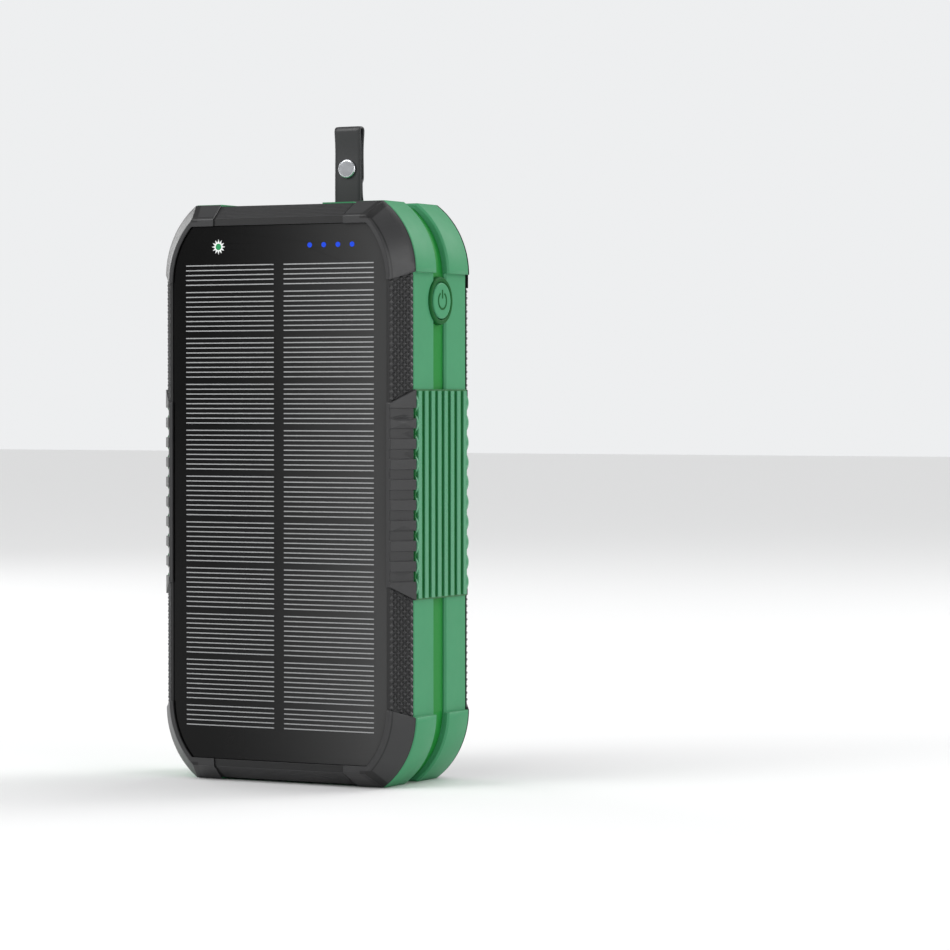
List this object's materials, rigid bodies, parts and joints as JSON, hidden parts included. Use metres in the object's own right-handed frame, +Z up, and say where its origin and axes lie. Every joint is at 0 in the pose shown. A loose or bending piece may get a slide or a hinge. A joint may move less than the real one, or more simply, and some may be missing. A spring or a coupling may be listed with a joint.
{
  "type": "solar phone charger",
  "caption": "Rugged solar power bank with a glass solar face, green bumper band, fold-out hand crank, built-in flat cables, compass, charging pad and strap.",
  "frame": {"origin": "middle of the footprint, on the surface that the corner guards stand on", "axes": "+Z up along the height, -Y out of the solar face, +Y out of the back with the crank, +X to the right seen from the solar face"},
  "size_m": [0.0904, 0.048, 0.206],
  "materials": {
    "battery_foil": "pouch cell foil",
    "black_guard": "satin moulded plastic",
    "black_shell": "fine-textured moulded plastic",
    "blue_light": "clear light window, blue light",
    "board": "circuit board",
    "cable_black": "flat flexible cable jacket",
    "cell": "silicon wafer",
    "compass_black": "printed compass card",
    "compass_green": "satin moulded plastic",
    "copper": "wound copper coil",
    "crank_black": "satin moulded plastic",
    "dark_steel": "blackened steel",
    "ferrite": "ferrite sheet",
    "gear_white": "acetal gear",
    "gold": "gold-plated contacts",
    "green_band": "satin moulded plastic",
    "green_groove": "satin moulded plastic",
    "green_light": "clear light window, green light",
    "lens": "clear lens",
    "motor": "generator can",
    "pad": "matte moulded plastic",
    "panel_glass": "dark laminated solar panel face, glossy",
    "plug_black": "satin overmould",
    "snap_metal": "domed snap cap",
    "steel": "bright steel",
    "strap_black": "smooth coated strap",
    "switch": "tactile switch"
  },
  "bodies": {
    "case": {"battery_cell_1": "battery_foil", "battery_cell_2": "battery_foil", "battery_cell_3": "battery_foil", "button_ring": "green_band", "button_switch": "switch", "charge_lights": "blue_light", "charging_coil": "copper", "charging_pad": "pad", "coil_ferrite": "ferrite", "compass_case": "compass_green", "compass_lens": "lens", "compass_pivot": "steel", "front_frame": "green_band", "front_guard_bottom_left": "black_guard", "front_guard_bottom_right": "black_guard", "front_guard_top_left": "black_guard", "front_guard_top_right": "black_guard", "front_shell": "black_shell", "generator": "motor", "grip_front_left": "black_guard", "grip_front_right": "black_guard", "grip_rear_left": "black_guard", "grip_rear_right": "black_guard", "main_board": "board", "mid_band": "green_groove", "panel_board": "board", "rear_frame": "green_band", "rear_guard_bottom_left": "black_guard", "rear_guard_bottom_right": "black_guard", "rear_shell": "black_shell", "rear_top_bar": "black_guard", "rib_pad_left": "green_band", "rib_pad_right": "green_band", "screws": "dark_steel", "solar_cell_left": "cell", "solar_cell_right": "cell", "solar_glass": "panel_glass", "status_light": "green_light", "strap_bar": "dark_steel", "usb_a_cable": "cable_black", "usb_a_contacts": "gold", "usb_a_plug": "plug_black", "usb_a_tongue": "plug_black", "usb_c_cable": "cable_black", "usb_c_plug": "plug_black", "usb_c_tip": "steel"},
    "crank": {"crank_disc": "crank_black", "hinge_pin": "steel", "crank_gear": "gear_white"},
    "arm": {"crank_arm": "crank_black"},
    "knob": {"crank_knob": "crank_black"},
    "generator_rotor": {"generator_pinion": "gear_white"},
    "power_button": {"power_button": "green_band"},
    "compass_card": {"compass_card": "compass_black"},
    "strap": {"strap": "strap_black", "strap_snap": "snap_metal"},
    "adapter": {"adapter_body": "plug_black", "adapter_tip": "steel"}
  },
  "joints": [
    {"name": "crank_spin", "type": "hinge", "parent": "case", "child": "crank", "pos_m": [-0.0234, 0, 0.161], "axis": [0, 1, 0], "range_deg": [-0.25, 0.25]},
    {"name": "generator_spin", "type": "hinge", "parent": "case", "child": "generator_rotor", "pos_m": [-0.0107, 0, 0.161], "axis": [0, 1, 0], "range_deg": [-0.9, 0.9]},
    {"name": "crank_arm_flip", "type": "hinge", "parent": "crank", "child": "arm", "pos_m": [-0.0175, 0.02045, 0.161], "axis": [0, 0, 1], "range_deg": [0, 158]},
    {"name": "knob_spin", "type": "hinge", "parent": "arm", "child": "knob", "pos_m": [0.03, 0.012, 0.161], "axis": [0, 1, 0], "continuous": true},
    {"name": "button_press", "type": "slide", "parent": "case", "child": "power_button", "axis": [-1, 0, 0], "range_m": [0, 0.0006], "stiffness_N_per_m": 2500, "springref_m": -0.0002},
    {"name": "compass_turn", "type": "hinge", "parent": "case", "child": "compass_card", "pos_m": [-0.042, 0, 0.1403], "axis": [1, 0, 0], "continuous": true},
    {"name": "strap_swing", "type": "hinge", "parent": "case", "child": "strap", "pos_m": [0, 0.0206, 0.177], "axis": [-1, 0, 0], "range_deg": [-24, 110]},
    {"name": "adapter_slide", "type": "slide", "parent": "case", "child": "adapter", "axis": [-1, 0, 0], "range_m": [0, 0.003]}
  ],
  "couplings": [
    {"joint": "generator_spin", "follows": "crank_spin", "ratio": -3.2}
  ]
}
